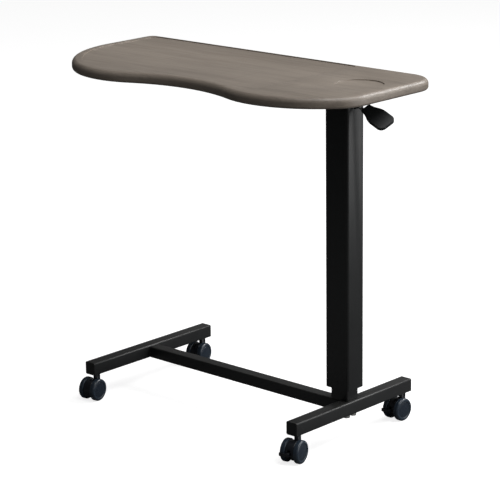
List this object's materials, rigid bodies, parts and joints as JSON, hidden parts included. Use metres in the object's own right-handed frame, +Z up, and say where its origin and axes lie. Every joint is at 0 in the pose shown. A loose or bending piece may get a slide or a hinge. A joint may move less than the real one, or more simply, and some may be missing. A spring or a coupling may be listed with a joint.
{
  "type": "overbed table",
  "caption": "Height-adjustable overbed table: kidney-shaped top with tray and cup recesses on an offset telescopic column and an H-shaped base with twin-wheel casters.",
  "frame": {"origin": "on the floor, under the middle of the bounding box", "axes": "+X along the top towards the column, +Y towards the straight back edge, +Z up"},
  "size_m": [0.8202, 0.3919, 0.736],
  "materials": {
    "frame_black": "satin black powder coat, fine texture",
    "cap_plastic": "moulded black plastic",
    "zinc_steel": "zinc plated",
    "chromed_rod": "hard chrome, polished",
    "spring_barrel": "smooth black paint",
    "piston_seal": "seal ring",
    "glide_nylon": "black nylon",
    "oak_laminate": "grey-brown oak grain film on board, satin",
    "lever_plastic": "moulded black plastic",
    "hood_plastic": "semi-gloss black nylon",
    "axle_steel": "bright drawn steel",
    "wheel_slate": "slate blue-grey nylon, semi-gloss",
    "wheel_cap_slate": "slate blue-grey nylon, semi-gloss"
  },
  "bodies": {
    "root": {"left_foot_tube": "frame_black", "right_foot_tube": "frame_black", "stretcher_tube": "frame_black", "left_front_end_cap": "cap_plastic", "left_rear_end_cap": "cap_plastic", "right_front_end_cap": "cap_plastic", "right_rear_end_cap": "cap_plastic", "column_seat_plate": "frame_black", "column_foot_plate": "frame_black", "column_bolts": "zinc_steel", "column_bolt_washers": "zinc_steel", "inner_column_tube": "frame_black", "inner_tube_glide": "glide_nylon", "gas_spring_cylinder": "spring_barrel", "gas_spring_lower_nut": "zinc_steel", "caster_stems": "zinc_steel", "caster_stem_washers": "zinc_steel", "caster_stem_nuts": "zinc_steel"},
    "lift": {"outer_column_tube": "frame_black", "outer_tube_guide": "glide_nylon", "top_mounting_plate": "frame_black", "top_plate_screws": "zinc_steel", "tabletop_panel": "oak_laminate", "spring_head_bracket": "frame_black", "gas_spring_rod": "chromed_rod", "gas_spring_piston": "piston_seal", "gas_spring_rod_nut": "zinc_steel", "lever_bracket": "frame_black", "lever_pivot_pin": "zinc_steel"},
    "lever": {"lever_arm": "zinc_steel", "lever_paddle": "lever_plastic"},
    "release_pin": {"release_pin": "zinc_steel"},
    "left_front_swivel": {"left_front_caster_hood": "hood_plastic", "left_front_caster_axle": "axle_steel"},
    "left_front_outer_wheel": {"left_front_outer_wheel": "wheel_slate", "left_front_outer_cap": "wheel_cap_slate"},
    "left_front_inner_wheel": {"left_front_inner_wheel": "wheel_slate", "left_front_inner_cap": "wheel_cap_slate"},
    "left_rear_swivel": {"left_rear_caster_hood": "hood_plastic", "left_rear_caster_axle": "axle_steel"},
    "left_rear_outer_wheel": {"left_rear_outer_wheel": "wheel_slate", "left_rear_outer_cap": "wheel_cap_slate"},
    "left_rear_inner_wheel": {"left_rear_inner_wheel": "wheel_slate", "left_rear_inner_cap": "wheel_cap_slate"},
    "right_front_swivel": {"right_front_caster_hood": "hood_plastic", "right_front_caster_axle": "axle_steel"},
    "right_front_outer_wheel": {"right_front_outer_wheel": "wheel_slate", "right_front_outer_cap": "wheel_cap_slate"},
    "right_front_inner_wheel": {"right_front_inner_wheel": "wheel_slate", "right_front_inner_cap": "wheel_cap_slate"},
    "right_front_brake": {"right_front_brake_pedal": "hood_plastic"},
    "right_rear_swivel": {"right_rear_caster_hood": "hood_plastic", "right_rear_caster_axle": "axle_steel"},
    "right_rear_outer_wheel": {"right_rear_outer_wheel": "wheel_slate", "right_rear_outer_cap": "wheel_cap_slate"},
    "right_rear_inner_wheel": {"right_rear_inner_wheel": "wheel_slate", "right_rear_inner_cap": "wheel_cap_slate"},
    "right_rear_brake": {"right_rear_brake_pedal": "hood_plastic"}
  },
  "joints": [
    {"name": "column_lift", "type": "slide", "parent": "root", "child": "lift", "axis": [0, 0, 1], "range_m": [0, 0.35]},
    {"name": "release_lever", "type": "hinge", "parent": "lift", "child": "lever", "pos_m": [0.337, 0.015, 0.6995], "axis": [0, -1, 0], "range_deg": [0, 8], "stiffness_Nm_per_rad": 2},
    {"name": "release_pin_slide", "type": "slide", "parent": "lift", "child": "release_pin", "axis": [0, 0, -1], "range_m": [0, 0.0054]},
    {"name": "left_front_swivel_turn", "type": "hinge", "parent": "root", "child": "left_front_swivel", "pos_m": [-0.264, -0.1505, 0.05], "axis": [0, 0, 1], "continuous": true},
    {"name": "left_front_outer_wheel_spin", "type": "hinge", "parent": "left_front_swivel", "child": "left_front_outer_wheel", "pos_m": [-0.26219, -0.16337, 0.024], "axis": [0.9903, 0.1392, 0], "continuous": true},
    {"name": "left_front_inner_wheel_spin", "type": "hinge", "parent": "left_front_swivel", "child": "left_front_inner_wheel", "pos_m": [-0.26219, -0.16337, 0.024], "axis": [0.9903, 0.1392, 0], "continuous": true},
    {"name": "left_rear_swivel_turn", "type": "hinge", "parent": "root", "child": "left_rear_swivel", "pos_m": [-0.264, 0.1805, 0.05], "axis": [0, 0, 1], "continuous": true},
    {"name": "left_rear_outer_wheel_spin", "type": "hinge", "parent": "left_rear_swivel", "child": "left_rear_outer_wheel", "pos_m": [-0.26174, 0.1677, 0.024], "axis": [0.9848, 0.1736, 0], "continuous": true},
    {"name": "left_rear_inner_wheel_spin", "type": "hinge", "parent": "left_rear_swivel", "child": "left_rear_inner_wheel", "pos_m": [-0.26174, 0.1677, 0.024], "axis": [0.9848, 0.1736, 0], "continuous": true},
    {"name": "right_front_swivel_turn", "type": "hinge", "parent": "root", "child": "right_front_swivel", "pos_m": [0.315, -0.1505, 0.05], "axis": [0, 0, 1], "continuous": true},
    {"name": "right_front_outer_wheel_spin", "type": "hinge", "parent": "right_front_swivel", "child": "right_front_outer_wheel", "pos_m": [0.3177, -0.16322, 0.024], "axis": [0.9781, 0.2079, 0], "continuous": true},
    {"name": "right_front_inner_wheel_spin", "type": "hinge", "parent": "right_front_swivel", "child": "right_front_inner_wheel", "pos_m": [0.3177, -0.16322, 0.024], "axis": [0.9781, 0.2079, 0], "continuous": true},
    {"name": "right_front_brake_press", "type": "hinge", "parent": "right_front_swivel", "child": "right_front_brake", "pos_m": [0.3177, -0.16322, 0.024], "axis": [0.9781, 0.2079, 0], "range_deg": [0, 20]},
    {"name": "right_rear_swivel_turn", "type": "hinge", "parent": "root", "child": "right_rear_swivel", "pos_m": [0.315, 0.1805, 0.05], "axis": [0, 0, 1], "continuous": true},
    {"name": "right_rear_outer_wheel_spin", "type": "hinge", "parent": "right_rear_swivel", "child": "right_rear_outer_wheel", "pos_m": [0.31455, 0.16751, 0.024], "axis": [0.9994, -0.0349, 0], "continuous": true},
    {"name": "right_rear_inner_wheel_spin", "type": "hinge", "parent": "right_rear_swivel", "child": "right_rear_inner_wheel", "pos_m": [0.31455, 0.16751, 0.024], "axis": [0.9994, -0.0349, 0], "continuous": true},
    {"name": "right_rear_brake_press", "type": "hinge", "parent": "right_rear_swivel", "child": "right_rear_brake", "pos_m": [0.31455, 0.16751, 0.024], "axis": [0.9994, -0.0349, 0], "range_deg": [0, 20]}
  ],
  "couplings": [
    {"joint": "release_pin_slide", "follows": "release_lever", "m_per_rad": 0.038}
  ]
}
